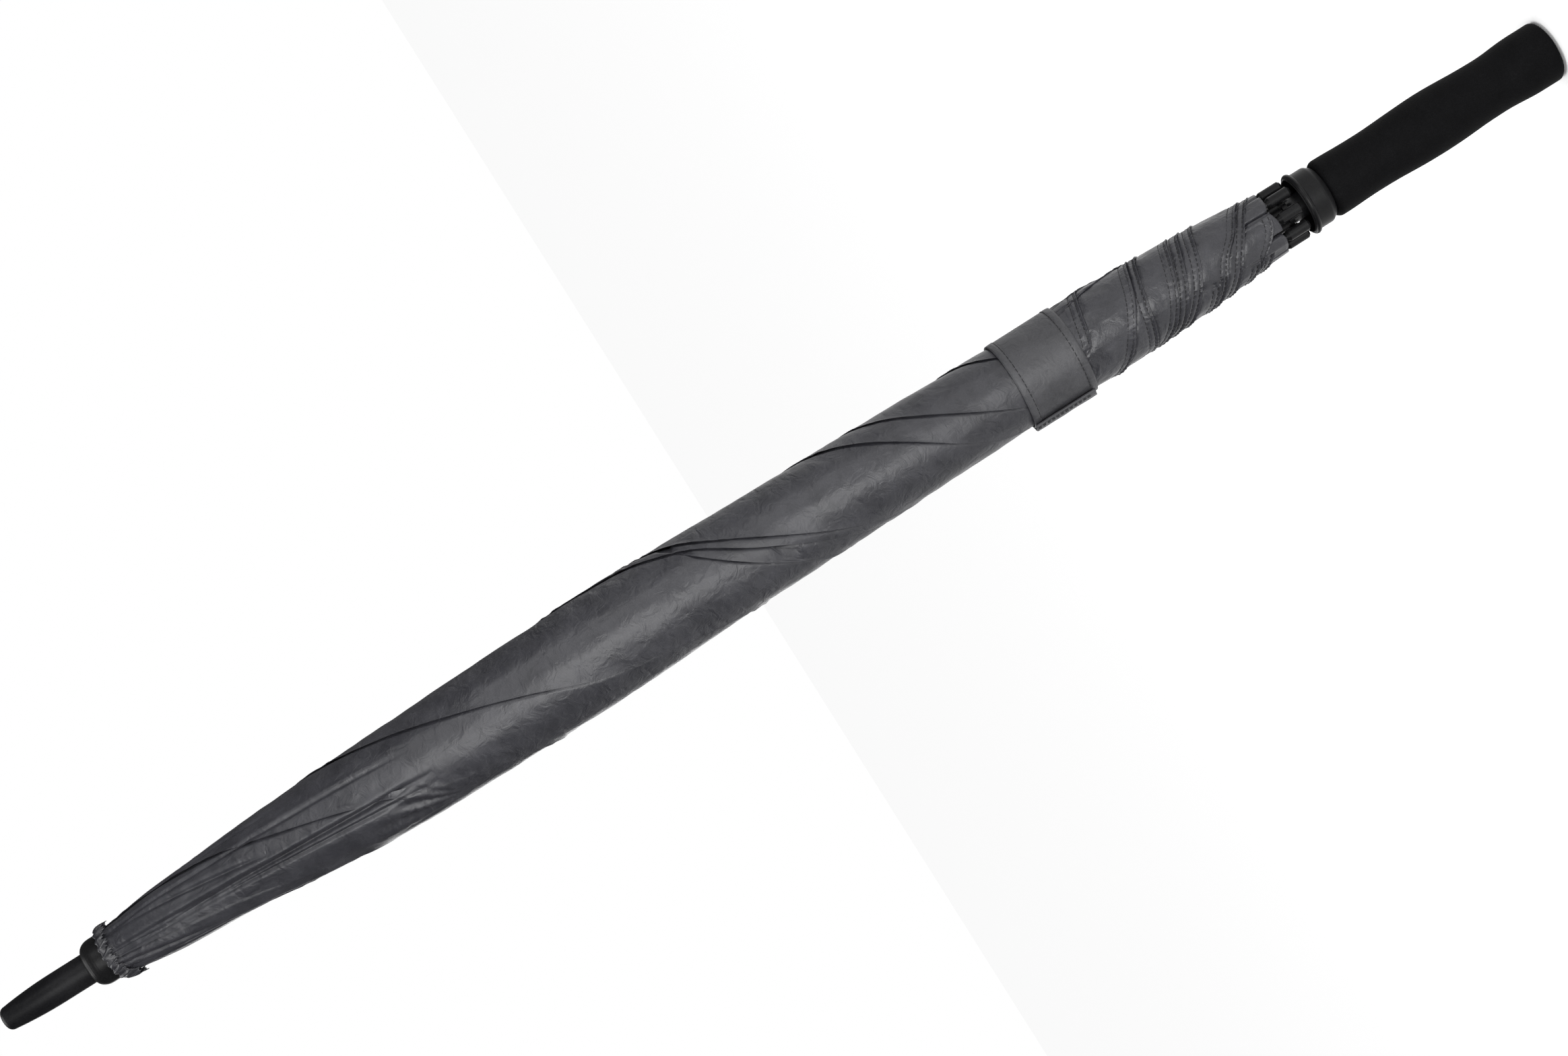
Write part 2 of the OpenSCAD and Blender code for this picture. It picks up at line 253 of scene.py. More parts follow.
def woven_cloth(name, dark, light, pitch=0.0007, roughness=0.34, sheen=0.01):
    """Plain-weave polyester: crossing threads from the sheet's own map, with soft marks and a dull shine."""
    mat, tree, shader = new_material(name)
    coords = add(tree, "ShaderNodeTexCoord")
    threads = []
    for direction in ("X", "Y"):
        wave = add(tree, "ShaderNodeTexWave", wave_type="BANDS", bands_direction=direction)
        wave.inputs["Scale"].default_value = 1 / (pitch * 3.14)
        wave.inputs["Distortion"].default_value = 0.6
        wave.inputs["Detail"].default_value = 1
        tree.links.new(coords.outputs["UV"], wave.inputs["Vector"])
        threads.append(wave.outputs["Fac"])
    cross = add(tree, "ShaderNodeMath", operation="MULTIPLY")
    tree.links.new(threads[0], cross.inputs[0])
    tree.links.new(threads[1], cross.inputs[1])
    marks = add(tree, "ShaderNodeTexNoise", Scale=55.0, Detail=4.0, Roughness=0.6)
    tree.links.new(coords.outputs["Object"], marks.inputs["Vector"])
    grain = add(tree, "ShaderNodeTexNoise", Scale=900.0, Detail=2.0, Roughness=0.5)
    tree.links.new(coords.outputs["Object"], grain.inputs["Vector"])
    blend_in = add(tree, "ShaderNodeMath", operation="MULTIPLY_ADD")
    tree.links.new(grain.outputs["Fac"], blend_in.inputs[0])
    blend_in.inputs[1].default_value = 0.35
    tree.links.new(marks.outputs["Fac"], blend_in.inputs[2])
    tree.links.new(colour_mix(tree, spread(tree, blend_in.outputs[0], -0.55, 1.05), dark, light),
                   shader.inputs["Base Color"])
    tree.links.new(spread(tree, marks.outputs["Fac"], roughness - 0.12, roughness + 0.12),
                   shader.inputs["Roughness"])
    creases = add(tree, "ShaderNodeTexNoise", Scale=130.0, Detail=3.0, Roughness=0.55, Distortion=0.8)
    tree.links.new(coords.outputs["Object"], creases.inputs["Vector"])
    soft = bump_node(tree, creases.outputs["Fac"], 0.5, 0.0014)
    tree.links.new(bump_node(tree, cross.outputs[0], 0.25, 0.00012, soft), shader.inputs["Normal"])
    shader.inputs["Sheen Weight"].default_value = sheen
    shader.inputs["Sheen Roughness"].default_value = 0.4
    shader.inputs["Sheen Tint"].default_value = (0.8, 0.82, 0.9, 1)
    shader.inputs["Specular IOR Level"].default_value = 0.36
    return mat


def grained_plastic(name, dark, light, roughness, grain_scale, grain_depth, coat=0.0):
    """Moulded plastic or foam: speckled colour, uneven gloss and a raised grain."""
    mat, tree, shader = new_material(name)
    coords = add(tree, "ShaderNodeTexCoord")
    grain = add(tree, "ShaderNodeTexNoise", Scale=grain_scale, Detail=3.0, Roughness=0.6)
    wear = add(tree, "ShaderNodeTexNoise", Scale=38.0, Detail=5.0, Roughness=0.65)
    for node in (grain, wear):
        tree.links.new(coords.outputs["Object"], node.inputs["Vector"])
    both = add(tree, "ShaderNodeMath", operation="MULTIPLY")
    tree.links.new(grain.outputs["Fac"], both.inputs[0])
    tree.links.new(wear.outputs["Fac"], both.inputs[1])
    tree.links.new(colour_mix(tree, spread(tree, both.outputs[0], -0.3, 2.4), dark, light),
                   shader.inputs["Base Color"])
    tree.links.new(spread(tree, wear.outputs["Fac"], roughness - 0.12, roughness + 0.14),
                   shader.inputs["Roughness"])
    tree.links.new(bump_node(tree, grain.outputs["Fac"], 0.5, grain_depth), shader.inputs["Normal"])
    shader.inputs["Specular IOR Level"].default_value = 0.14
    shader.inputs["Coat Weight"].default_value = coat
    shader.inputs["Coat Roughness"].default_value = 0.25
    return mat


def foam_rubber(name):
    """Closed-cell foam: matte, with fine pores pressed into it."""
    mat, tree, shader = new_material(name)
    coords = add(tree, "ShaderNodeTexCoord")
    pores = add(tree, "ShaderNodeTexVoronoi", Scale=1250.0)
    marks = add(tree, "ShaderNodeTexNoise", Scale=70.0, Detail=6.0, Roughness=0.7)
    speck = add(tree, "ShaderNodeTexNoise", Scale=1600.0, Detail=2.0, Roughness=0.5)
    for node in (pores, marks, speck):
        tree.links.new(coords.outputs["Object"], node.inputs["Vector"])
    both = add(tree, "ShaderNodeMath", operation="MULTIPLY")
    tree.links.new(marks.outputs["Fac"], both.inputs[0])
    tree.links.new(speck.outputs["Fac"], both.inputs[1])
    speckle = spread(tree, both.outputs[0], -0.4, 2.6)
    tree.links.new(colour_mix(tree, speckle, (0.001, 0.001, 0.0012), (0.0045, 0.0045, 0.005)),
                   shader.inputs["Base Color"])
    tree.links.new(spread(tree, marks.outputs["Fac"], 0.62, 0.82), shader.inputs["Roughness"])
    soft = bump_node(tree, marks.outputs["Fac"], 0.25, 0.0006)
    tree.links.new(bump_node(tree, pores.outputs["Distance"], 0.5, 0.00025, soft), shader.inputs["Normal"])
    shader.inputs["Specular IOR Level"].default_value = 0.06
    return mat


def drawn_steel(name):
    """Spring and wire steel: drawn lines along the wire and a dull polish."""
    mat, tree, shader = new_material(name)
    coords = add(tree, "ShaderNodeTexCoord")
    lines = add(tree, "ShaderNodeTexNoise", Scale=600.0, Detail=3.0, Roughness=0.6)
    stretch = add(tree, "ShaderNodeMapping")
    stretch.inputs["Scale"].default_value = (1, 1, 0.08)
    tree.links.new(coords.outputs["Object"], stretch.inputs["Vector"])
    tree.links.new(stretch.outputs["Vector"], lines.inputs["Vector"])
    tree.links.new(colour_mix(tree, lines.outputs["Fac"], (0.35, 0.35, 0.36), (0.6, 0.6, 0.62)),
                   shader.inputs["Base Color"])
    tree.links.new(spread(tree, lines.outputs["Fac"], 0.24, 0.45), shader.inputs["Roughness"])
    tree.links.new(bump_node(tree, lines.outputs["Fac"], 0.3, 0.0001), shader.inputs["Normal"])
    shader.inputs["Metallic"].default_value = 1.0
    return mat


CLOTH = woven_cloth("charcoal_canopy_cloth", (0.011, 0.011, 0.0135), (0.033, 0.033, 0.038))
STRAP_CLOTH = woven_cloth("charcoal_strap_cloth", (0.018, 0.018, 0.020), (0.045, 0.045, 0.049),
                          roughness=0.46)
RUFFLE_CLOTH = woven_cloth("gathered_ruffle_cloth", (0.007, 0.007, 0.009), (0.028, 0.028, 0.032))
THREAD = woven_cloth("dark_sewing_thread", (0.003, 0.003, 0.0035), (0.010, 0.010, 0.011),
                     pitch=0.0004, roughness=0.7)
SATIN_PLASTIC = grained_plastic("satin_black_plastic", (0.002, 0.002, 0.0023), (0.008, 0.008, 0.0085),
                                0.34, 1500.0, 0.00006)
MATTE_PLASTIC = grained_plastic("matte_black_plastic", (0.002, 0.002, 0.0025), (0.008, 0.008, 0.009),
                                0.42, 1100.0, 0.00008)
SHAFT_FINISH = grained_plastic("black_lacquered_tube", (0.004, 0.004, 0.0045), (0.012, 0.012, 0.013),
                               0.32, 800.0, 0.00003, 0.3)
FIBRE = grained_plastic("black_glass_fibre", (0.006, 0.006, 0.0065), (0.022, 0.022, 0.024),
                        0.38, 2200.0, 0.00005, 0.2)
BUTTON_PLASTIC = grained_plastic("grey_button_plastic", (0.020, 0.020, 0.022), (0.070, 0.070, 0.075),
                                 0.45, 1300.0, 0.00006)
FOAM = foam_rubber("black_grip_foam")
STEEL = drawn_steel("drawn_spring_steel")

NODE_FINISHES = {
    "shaft_tube": SHAFT_FINISH, "ferrule": MATTE_PLASTIC, "collar_cap": SATIN_PLASTIC,
    "top_notch": MATTE_PLASTIC, "notch_wire": STEEL, "tip_cup": SATIN_PLASTIC,
    "handle_core": MATTE_PLASTIC, "end_plug": SATIN_PLASTIC, "upper_spring": STEEL,
    "lower_spring": STEEL, "runner_sleeve": SATIN_PLASTIC, "runner_button": BUTTON_PLASTIC,
    "rib_": FIBRE, "rib_tip_": SATIN_PLASTIC, "rib_joint_": MATTE_PLASTIC, "stretcher_": FIBRE,
    "handle_grip": FOAM, "rosette": RUFFLE_CLOTH, "gore_": CLOTH,
    "strap": STRAP_CLOTH, "strap_tab": STRAP_CLOTH,
}


def finish_node(name, obj):
    stem = name if name in NODE_FINISHES else name.rstrip("0123456789")
    obj.data.materials.clear()
    obj.data.materials.append(NODE_FINISHES[stem])


for node_name, node_obj in frame["nodes"].items():
    finish_node(node_name, node_obj)


# ---- The wrapped canopy: outline, fold edges and pleats ----

# Outside radius of the wrapped cloth at each height, in millimetres
OUTLINE = smooth_curve([
    (181, 18.0), (195, 19.4), (210, 20.9), (225, 22.1), (240, 23.2), (268, 24.3), (297, 25.4), (311, 25.2),
    (330, 24.4), (370, 24.8), (430, 26.0), (487, 27.0), (531, 28.0), (575, 29.1), (605, 29.9), (634, 30.1),
    (700, 28.9), (745, 28.1), (780, 26.8), (810, 24.5), (840, 22.0), (868, 19.8), (895, 17.9), (911, 15.9),
    (919, 14.7), (926, 13.9), (934, 13.5),
])

outline_at = functools.lru_cache(maxsize=None)(OUTLINE)

# How far the wrap's belly hangs over to the -X side
LEAN = functools.lru_cache(maxsize=None)(smooth_curve([
    (300, 0), (560, 0), (610, 0.5), (650, 1.2), (712, 1.8), (765, 1.9), (810, 0.9), (845, 0), (934, 0),
]))

# The free fold edge of each flap as (height, azimuth), from the top down. Past -360 it is on its second turn.
FOLDS = {
    1: [(934, 6), (912, -6), (886, -22), (856, -43), (830, -64), (806, -80), (779, -96), (757, -110),
        (735, -124), (692, -150), (660, -184), (600, -245), (530, -305), (485, -350), (457, -387),
        (430, -425), (410, -454), (393, -480), (366, -519), (300, -600)],
    2: [(934, 104), (912, 90), (880, 72), (830, 35), (800, 10), (769, -23), (733, -49), (708, -66),
        (684, -81), (658, -98), (629, -119), (585, -139), (545, -166), (500, -235), (460, -330),
        (437, -372), (413, -410), (388, -443), (364, -472), (340, -500), (300, -540)],
    3: [(512, 243), (503, 229), (490, 202), (460, 135), (430, 76), (400, 30), (378, -2), (359, -36),
        (340, -62), (300, -108)],
    4: [(566, -24), (556, -48), (548, -66), (530, -95), (507, -128), (487, -157), (460, -198),
        (420, -255), (380, -312), (340, -360), (300, -398)],
    5: [(934, 238), (902, 214), (870, 199), (845, 190), (800, 166), (760, 130), (720, 90), (680, 50),
        (646, 12), (619, -4), (590, -15), (563, -39), (548, -54), (524, -85), (499, -112), (466, -151),
        (430, -205), (390, -268), (340, -335), (300, -380)],
    6: [(934, 256), (900, 248), (860, 236), (815, 213), (770, 176), (720, 118), (680, 76), (640, 32),
        (600, 9), (578, -7), (560, -27), (536, -58), (512, -85), (486, -114), (462, -141), (430, -184),
        (380, -258), (340, -318), (300, -366)],
}
FOLD_AT = {k: functools.lru_cache(maxsize=None)(smooth_curve(v)) for k, v in FOLDS.items()}
FOLD_TOP = {k: max(z for z, _ in v) for k, v in FOLDS.items()}
FLAP_FOOT = STRAP_LOW + 4

# Pleats under the ruffle as (height, azimuth) at both ends, then depth and half-width in millimetres
PLEATS = [
    (930, -40, 751, -71, 1.0, 1.1), (911, -53, 831, -88, 1.3, 1.2), (930, -86, 831, -98, 1.2, 1.1),
    (890, -97, 748, -107, 2.8, 1.4), (872, -104, 752, -117, 1.7, 1.0), (930, -122, 880, -143, 1.0, 1.1),
    (925, -10, 820, -34, 0.9, 1.4), (930, 16, 800, -6, 1.2, 1.6), (928, 50, 780, 24, 1.4, 1.6),
    (930, 92, 770, 64, 1.6, 1.6), (930, 132, 800, 104, 1.2, 1.4), (926, 172, 790, 142, 1.4, 1.5),
    (930, 212, 800, 184, 1.3, 1.4),
]


def turned(angle):
    """An angle brought to -180..180."""
    return (angle + 180) % 360 - 180


def pleat_dip(azimuth, height, radius):
    dip = 0
    for z0, a0, z1, a1, depth, width in PLEATS:
        if height < z1 - 30:
            continue
        t = (z0 - height) / (z0 - z1)
        off = math.radians(turned(azimuth - (a0 + (a1 - a0) * t))) * radius
        fade = ramp(z1 - 25, z1 + 25, height) * (0.45 + 0.55 * ramp(z0 + 4, z0 - 25, height))
        dip += depth * fade * (bump_at(off, 0, width) - 0.35 * bump_at(off, 2.4 * width, 1.6 * width))
    return dip


CRUSHED_AZIMUTH = -138
CRUSHED_HEIGHT = 752


def crumple(azimuth, height):
    """The crushed place beside the first fold: short ridges that fan out from one corner."""
    off = math.radians(turned(azimuth - CRUSHED_AZIMUTH)) * WRAP_R
    along = height - CRUSHED_HEIGHT
    near = bump_at(off, 0, 8) * bump_at(along, 0, 20)
    if near < 0.02:
        return 0
    fan = math.atan2(off + 9, along + 34)
    return near * (1.1 * math.sin(26 * fan) + 0.5 * math.sin(0.9 * along + 0.6 * off) - 0.6)


@functools.lru_cache(maxsize=None)
def next_fold(k, height):
    """The nearest fold edge on the rising side of edge k at this height, as degrees past it."""
    here = FOLD_AT[k](height)
    gaps = [(FOLD_AT[j](height) - here) % 360 for j in FOLDS if j != k and height < FOLD_TOP[j]]
    gaps = [g if g > 0.5 else 360 for g in gaps]
    return min(gaps + [330])


def folded_radius(azimuth, height, past, span, seed):
    """Radius of a flap's cloth, past degrees beyond its free edge, where the next flap starts at span."""
    radius = outline_at(height)
    arc_past = math.radians(past) * radius
    arc_left = math.radians(span - past) * radius
    lift = 0.75 * math.exp(-max(0, arc_past) / 2.6)
    tuck = 0.75 * (1 - ramp(-0.8, 2.2, arc_left)) + 0.9 * (1 - ramp(-8, -0.5, arc_left))
    swell = 0.5 * math.sin(math.pi * min(1, max(0, past / max(span, 1))))
    # Short puckers across the cloth near its free edge, in places
    cross = 0.34 * math.exp(-max(0, arc_past) / 8)
    cross *= math.sin(height * 0.8 + 6 * rough(azimuth, height, 30, seed))
    waves = 0.6 * rough(azimuth, height * 0.4, 12, seed) + 0.3 * rough(azimuth, height * 0.8, 6, seed + 5)
    waves *= 1 - 0.7 * ramp(830, 900, height)
    cross *= ramp(-0.1, 0.5, rough(azimuth, height, 26, seed + 9))
    wrapped = radius + lift - tuck + swell + cross + waves * 0.7 - pleat_dip(azimuth, height, radius)
    wrapped += crumple(azimuth, height) - LEAN(height) * math.cos(math.radians(azimuth))
    # Pressed in by the strap, and a little above and below it
    under_strap = ramp(STRAP_LOW - 6, STRAP_LOW, height) * (1 - ramp(STRAP_HIGH, STRAP_HIGH + 6, height))
    return wrapped + under_strap * (min(wrapped, STRAP_R - 1.6) - wrapped)


NECK_Z = 930       # flaps that start lower come out from under the next one
TUCK = 15          # degrees of cloth under the next flap
ROLL = 5           # grid columns that make the rounded fold


def make_flap(k):
    """One folded panel of the canopy, from its rounded free edge back to where it goes under the next."""
    top = FOLD_TOP[k]
    rows = int((top - FLAP_FOOT) / 2.4)
    widest = max(next_fold(k, top + (FLAP_FOOT - top) * i / 40) for i in range(41))
    columns = int(30 + widest * 0.42)
    hidden_top = top < NECK_Z

    def place(u, v):
        height = top + (FLAP_FOOT - top) * v
        span = next_fold(k, height)
        column = round(u * columns)
        edge = FOLD_AT[k](height)
        radius = outline_at(height)
        sink = 2.8 * ramp(top - 18, top - 6, height) if hidden_top else 0
        if column < ROLL:
            # The fold rolls under: round the edge and back along the inside
            turn = math.radians(200 * (1 - column / ROLL))
            past = (0.6 - 0.5 * math.cos(turn)) if column else 4.0
            inset = 0.4 * (1 - math.cos(turn)) + (0.6 if column == 0 else 0)
            past_degrees = math.degrees(past / radius)
            at_edge = folded_radius(edge, height, 0, span, 3 * k)
            return polar(at_edge - inset - sink, edge + past_degrees, height)
        share = (column - ROLL) / (columns - ROLL)
        past = share ** 1.25 * (span + TUCK) + math.degrees(0.2 / radius)
        return polar(folded_radius(edge + past, height, past, span, 3 * k) - sink, edge + past, height)

    length = (top - FLAP_FOOT) * MM
    obj = cloth_grid(f"flap_{k}", columns, rows, place, (0.12, length))
    obj.data.materials.append(CLOTH)
    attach(obj, "root")
    return obj


# ---- The hems below the strap ----

# Each hem as (azimuth, height), from its corner under the strap round to its rib tip
HEMS = {
    3: [(-108, 311), (-100, 307), (-60, 302), (-20, 297), (60, 287), (130, 279), (200, 273), (270, 268),
        (320, 262), (400, 250)],
    2: [(-214, 311), (-200, 304), (-158, 292), (-108, 280), (-72, 272), (0, 262), (80, 252), (160, 240),
        (240, 226)],
    1: [(-262, 311), (-245, 296), (-200, 276), (-163, 264), (-95, 250), (-11, 238), (70, 228),
        (150, 214), (230, 200)],
    7: [(-296, 311), (-275, 290), (-235, 272), (-166, 257), (-92, 243), (-5, 230), (70, 218),
        (150, 205), (230, 190)],
    8: [(-328, 311), (-300, 288), (-240, 262), (-169, 250), (-95, 234), (0, 221), (80, 207),
        (150, 196)],
    6: [(-364, 311), (-330, 282), (-270, 256), (-180, 233), (-100, 217), (-69, 206), (0, 192),
        (60, 186)],
    5: [(-378, 311), (-340, 270), (-270, 241), (-165, 220), (-114, 210), (-72, 200), (-10, 187),
        (40, 183)],
    4: [(-400, 311), (-360, 268), (-280, 236), (-200, 216), (-161, 206), (-138, 198), (-100, 187),
        (-70, 184)],
}
HEM_AT = {k: smooth_curve(v) for k, v in HEMS.items()}
HEM_SPAN = {k: (v[0][0], v[-1][0]) for k, v in HEMS.items()}
HEM_TUCK = 5       # millimetres of cloth under the hem above


def hem_above(k, azimuth):
    """Height of the nearest hem above hem k, or just under the strap's edge where k is outermost."""
    here = HEM_AT[k](azimuth)
    heights = []
    for j in HEMS:
        low, high = HEM_SPAN[j]
        for whole_turn in (-720, -360, 0, 360, 720):
            a = azimuth + whole_turn
            if low <= a <= high and HEM_AT[j](a) > here + 0.4:
                heights.append(HEM_AT[j](a))
    return min(heights + [STRAP_LOW + 2])


def make_hem(k):
    """The lower band of a flap, from its stitched hem up to where the hem above covers it."""
    low, high = HEM_SPAN[k]
    turns = high - low
    columns = int(turns / 2.2)
    rows = 22
    roll = 3

    def place(u, v):
        azimuth = low + turns * u
        hem = HEM_AT[k](azimuth)
        above = hem_above(k, azimuth)
        row = round(v * rows)
        if row < roll:
            height, inset, above_hem = hem + 0.5 * (roll - row) - 0.3, 0.6 * (roll - row), 0
        else:
            share = (row - roll) / (rows - roll)
            above_hem = share ** 1.2 * (above + HEM_TUCK - hem)
            height, inset = hem + above_hem, 0
        radius = OUTLINE(height)
        lift = 0.7 * math.exp(-above_hem / 1.8)
        left = above - height
        tuck = 0.8 * (1 - ramp(-0.6, 1.6, left)) + 0.7 * (1 - ramp(-6, -0.5, left))
        start = 1.2 * (1 - ramp(0, 14, azimuth - low)) + 1.6 * (1 - ramp(0, 20, high - azimuth))
        wave = 0.45 * rough(azimuth, height * 0.7, 8, 20 + k) + 0.2 * rough(azimuth, height, 4, 30 + k)
        pucker = 0.2 * math.sin(azimuth * 1.9) * math.exp(-above_hem / 5)
        pucker -= 0.4 * bump_at(above_hem, 1.8, 0.7) + 0.4 * bump_at(above_hem, 5.4, 0.7)
        return polar(radius + lift - tuck - inset - start + wave + pucker, azimuth, height)

    length = math.radians(turns) * 0.022
    obj = cloth_grid(f"hem_{k}", columns, rows, place, (length, 0.03))
    obj.data.materials.append(CLOTH)
    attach(obj, "root")

    bm = bmesh.new()
    for above_hem in (1.8, 5.4):
        route = []
        for i in range(int(turns / 1.5)):
            azimuth = low + 8 + (turns - 16) * i / int(turns / 1.5)
            height = HEM_AT[k](azimuth) + above_hem
            if height > hem_above(k, azimuth) - 0.8:
                continue
            wave = 0.45 * rough(azimuth, height * 0.7, 8, 20 + k) + 0.2 * rough(azimuth, height, 4, 30 + k)
            radius = OUTLINE(height) + 0.7 * math.exp(-above_hem / 1.8) + wave
            route.append(polar(radius - 0.25, azimuth, height))
        stitch_row(bm, route, gap=2.6, stitch=1.9, thick=0.22)
    stitches = keep_mesh(bm, f"hem_stitches_{k}", smooth=False)
    stitches.data.materials.append(THREAD)
    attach(stitches, "root")
    return obj, stitches


def gather(obj):
    """Gives the piece its own copy of its mesh; nothing here makes the wrap slide up or gather under the cap.
    """
    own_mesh(obj)


def wrap_canopy():
    for k in FOLDS:
        flap = make_flap(k)
        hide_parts(f"gore_{k}")
        gather(flap)
    for k in HEMS:
        band, stitches = make_hem(k)
        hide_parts(f"gore_{k}")
        gather(band)
        gather(stitches)


# ---- Canopy panels: one panel for each pair of ribs, built folded small inside the wrap ----

PANEL_COLUMNS = 16
PANEL_ROWS = 60
PANEL_HALF = 2.0       # half of the folded panel's width
ROD_CLEAR = 2.3        # cloth over a rib's centre line
RIB_BOW = 4.05         # rise of the rib's bend over its straight line
BILLOW = 6.0           # rise of the panel between its ribs
JOINTS = {j["name"]: j for j in frame["joints"]}


def even_share(w):
    """Where a column lies across the folded strip: closer together in the middle, further apart at the sides.
    """
    return 0.5 - math.sin(math.asin(1 - 2 * w) / 3)


def make_panel(k):
    joint = JOINTS[f"gore_{k}_fan"]
    apex = Vector(joint["pos_m"])
    normal = Vector(joint["axis"]).normalized()
    turn = math.radians(FIRST_TURN + RIB_STEP * (k - 1))
    across_rib = Vector((-math.sin(turn), math.cos(turn), 0))
    down = normal.cross(across_rib)
    down = (down if down.z < 0 else -down).normalized()
    side = normal.cross(down).normalized()
    fan = math.radians(joint["range_deg"][1])
    start = 20 * MM
    full = apex.z - (TIP_TOP + 1.5) * MM
    bend = apex.z - JOINT_Z * MM

    def place(u, v):
        x = PANEL_HALF * (2 * even_share(u) - 1) * MM
        end = full * math.cos(fan / 2) / math.cos(fan / 2 - u * fan)
        along = start + (end - start) * v
        near_clip = bump_at(along, bend, 0.03)
        bow = RIB_BOW * max(0, 1 - abs(along - bend) / 0.3475)
        swell = BILLOW * math.sin(math.pi * u) ** 0.8 * math.sin(math.pi * min(1, v * 1.02)) ** 0.7
        crease = 0.5 * noise.noise(Vector((u * 4, along * 30, k))) * math.sin(math.pi * u)
        rise = ROD_CLEAR + bow + 0.9 * near_clip + swell + crease
        return apex + down * along + side * x + normal * rise * MM

    obj = cloth_grid(f"panel_{k}", PANEL_COLUMNS, PANEL_ROWS, place, (0.45, 0.75))
    obj.data.materials.append(CLOTH)
    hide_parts(f"gore_{k}")
    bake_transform(obj)


# ---- Cloth pockets on the rib tips ----

def make_pocket(k):
    """The corner of the canopy that is pulled over a rib tip, creased towards it."""
    centre = FIRST_TURN + RIB_STEP * (k - 1)
    foot, head = TIP_TOP + 1.0, TIP_TOP + 34

    def place(u, v):
        off = (u - 0.5) * 2
        spread_out = 21.5 - 2 * v
        skew = 2.2 * math.sin(2.1 * k) * off
        height = foot + (head - foot) * v + (1 - v) * (1.3 * abs(off) ** 3 + skew * 0.5)
        fold = 3.2 * ramp(0.82, 1.0, abs(off)) * (1 - 0.3 * v)
        crease = 0.5 * math.cos(off * 7 + k) * (0.25 + v) + 0.3 * math.cos(off * 15 + 2 * k) * v
        radius = 18.35 - 0.35 * off * off - fold + 0.9 * v + crease * 0.8
        return polar(radius, centre + off * spread_out, height)

    obj = cloth_grid(f"tip_pocket_{k}", 26, 16, place, (0.014, 0.034))
    obj.data.materials.append(CLOTH)
    thicken(obj, 0.35)
    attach(obj, f"rib_{k}")


# ---- Strap ----


def strap_radius(azimuth, height):
    edge = min(height - STRAP_LOW, STRAP_HIGH - height)
    wave = 0.3 * rough(azimuth, height * 0.3, 14, 60)
    doubled = 0.25 * (1 - ramp(4.0, 5.0, edge)) - 0.3 * bump_at(edge, 4.4, 0.5)
    return STRAP_R - 0.45 + wave + doubled - 0.25 * math.exp(-edge / 1.5)


def make_strap():
    def place(u, v):
        azimuth = 360 * u
        height = STRAP_LOW + (STRAP_HIGH - STRAP_LOW) * v + 0.35 * math.sin(math.radians(azimuth * 2 + 40))
        return polar(strap_radius(azimuth, height), azimuth, height)

    circumference = 2 * math.pi * STRAP_R * MM
    obj = cloth_grid("strap_band", 144, 44, place, (circumference, (STRAP_HIGH - STRAP_LOW) * MM))
    close_seam(obj, 0.05)
    obj.data.materials.append(STRAP_CLOTH)
    thicken(obj, 0.8)
    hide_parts("strap")

    bm = bmesh.new()
    for height in (STRAP_LOW + 4.2, STRAP_HIGH - 4.2):
        route = [polar(strap_radius(a, height) + 0.5, a, height + 0.35 * math.sin(math.radians(a * 2 + 40)))
                 for a in range(206, 517, 1)]
        stitch_row(bm, route, gap=3.2, stitch=2.3, thick=0.24)
    stitches = keep_mesh(bm, "strap_stitches", smooth=False)
    stitches.data.materials.append(THREAD)
    for piece in (obj, stitches):
        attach(piece, "gore_5")
        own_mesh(piece)


def make_strap_tab():
    """The doubled end of the strap: a flat fold of cloth with its stitches, on the strap's outside."""
    low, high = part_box("strap_tab")[0].z / MM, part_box("strap_tab")[1].z / MM
    radius = STRAP_R + 1.5
    start, end = 160, 206

    def skew(azimuth):
        return 2.4 * ramp(start, end, azimuth)

    def place(u, v):
        azimuth = start + (end - start) * u
        height = low - 0.5 + (high - low + 1) * v + skew(azimuth) * (1 - 0.4 * v)
        edge = min(u, 1 - u) * 12
        lift = 0.5 * ramp(0.35, 1, u) + 0.25 * rough(azimuth, height, 9, 71)
        return polar(radius + lift - 0.3 * math.exp(-edge), azimuth, height)

    obj = cloth_grid("strap_end", 24, 16, place, (0.0215, 0.0385))
    obj.data.materials.append(STRAP_CLOTH)
    thicken(obj, 1.5)
    soften = obj.modifiers.new("rounded_fold", "BEVEL")
    soften.width = 0.5 * MM
    soften.segments = 3
    soften.limit_method = "ANGLE"
    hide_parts("strap_tab")

    bm = bmesh.new()
    for u in (0.86, 0.93):
        route = []
        for i in range(61):
            v = 0.05 + 0.9 * i / 60
            point = place(u, v)
            route.append(point + Vector((point.x, point.y, 0)).normalized() * 0.82 * MM)
        stitch_row(bm, route, gap=2.6, stitch=1.8, thick=0.22)
    stitches = keep_mesh(bm, "strap_end_stitches", smooth=False)
    stitches.data.materials.append(THREAD)
    for piece in (obj, stitches):
        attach(piece, "strap_tab")
        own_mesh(piece)


# ---- Gathered ruffle under the collar cap ----

